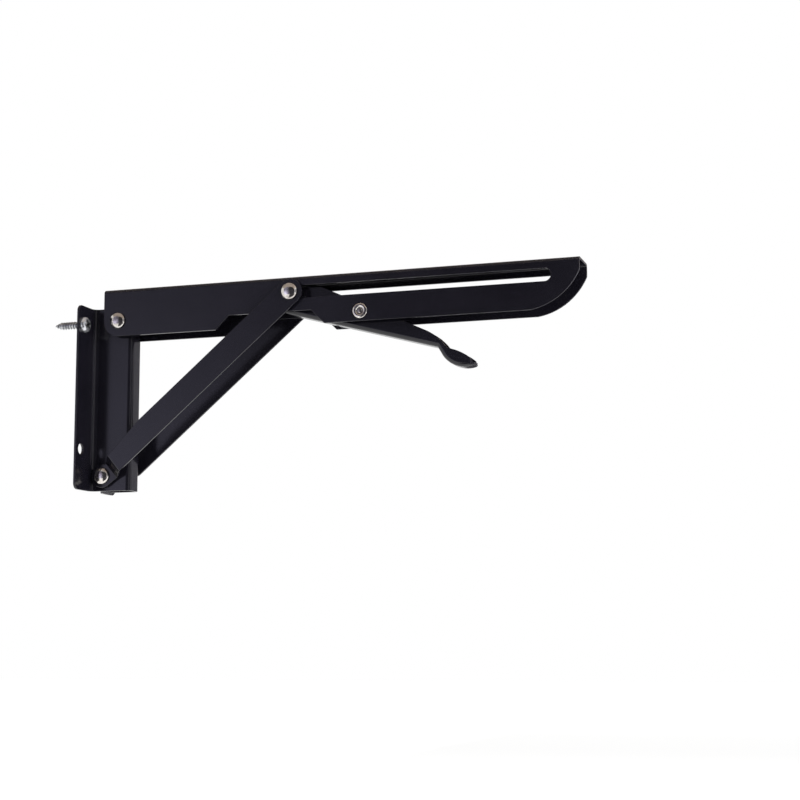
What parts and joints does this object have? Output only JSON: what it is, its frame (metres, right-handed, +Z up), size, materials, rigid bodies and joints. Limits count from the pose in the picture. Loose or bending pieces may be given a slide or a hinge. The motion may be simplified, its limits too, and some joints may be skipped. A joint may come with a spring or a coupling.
{
  "type": "folding shelf bracket",
  "caption": "Folding wall bracket: a shelf arm hinged on a wall leg, held level by a pinned strut that slides in a slot, with a release lever under the arm.",
  "frame": {"origin": "midway between the two lower screw holes, on the plane of the wall", "axes": "+X away from the wall along the arm, +Z up to the shelf, Y along the wall"},
  "size_m": [0.329, 0.053, 0.125],
  "materials": {
    "black_enamel": "satin black enamel on pressed sheet steel",
    "nickel": "bright nickel plate",
    "plain_steel": "plain turned steel",
    "spring_steel": "oiled spring wire",
    "zinc": "bright zinc plate"
  },
  "bodies": {
    "wall_leg": {"wall_leg": "black_enamel", "wall_screw_left": "zinc", "wall_screw_right": "zinc"},
    "shelf_arm": {"shelf_arm": "black_enamel", "arm_pivot_rivet": "nickel", "pivot_washer_left": "plain_steel", "pivot_washer_right": "plain_steel", "lever_rivet": "nickel", "lever_washer_left": "plain_steel", "lever_washer_right": "plain_steel", "lever_spring": "spring_steel"},
    "strut": {"strut_left": "black_enamel", "strut_right": "black_enamel", "strut_foot_rivet": "nickel", "foot_washer_left": "plain_steel", "foot_washer_right": "plain_steel", "strut_head_rivet_left": "nickel", "strut_head_rivet_right": "nickel"},
    "slider_pins": {"slider_pin_left": "plain_steel", "slider_pin_right": "plain_steel"},
    "release_lever": {"release_lever": "black_enamel"}
  },
  "joints": [
    {"name": "arm_fold", "type": "hinge", "parent": "wall_leg", "child": "shelf_arm", "pos_m": [0.0202, 0, 0.0801], "axis": [0, 1, 0], "range_deg": [0, 90]},
    {"name": "strut_swing", "type": "hinge", "parent": "wall_leg", "child": "strut", "pos_m": [0.0102, 0, -0.0158], "axis": [0, 1, 0], "range_deg": [0, 123.3]},
    {"name": "pin_slide", "type": "slide", "parent": "shelf_arm", "child": "slider_pins", "axis": [1, 0, 0], "range_m": [0, 0.144]},
    {"name": "lever_press", "type": "hinge", "parent": "shelf_arm", "child": "release_lever", "pos_m": [0.1786, 0, 0.0765], "axis": [0, -1, 0], "range_deg": [0, 13], "stiffness_Nm_per_rad": 0.15, "springref_deg": -20.05}
  ],
  "couplings": [
    {"joint": "strut_swing", "follows": "arm_fold", "ratio": 1.3698},
    {"joint": "pin_slide", "follows": "arm_fold", "m_per_rad": 0.0915}
  ]
}
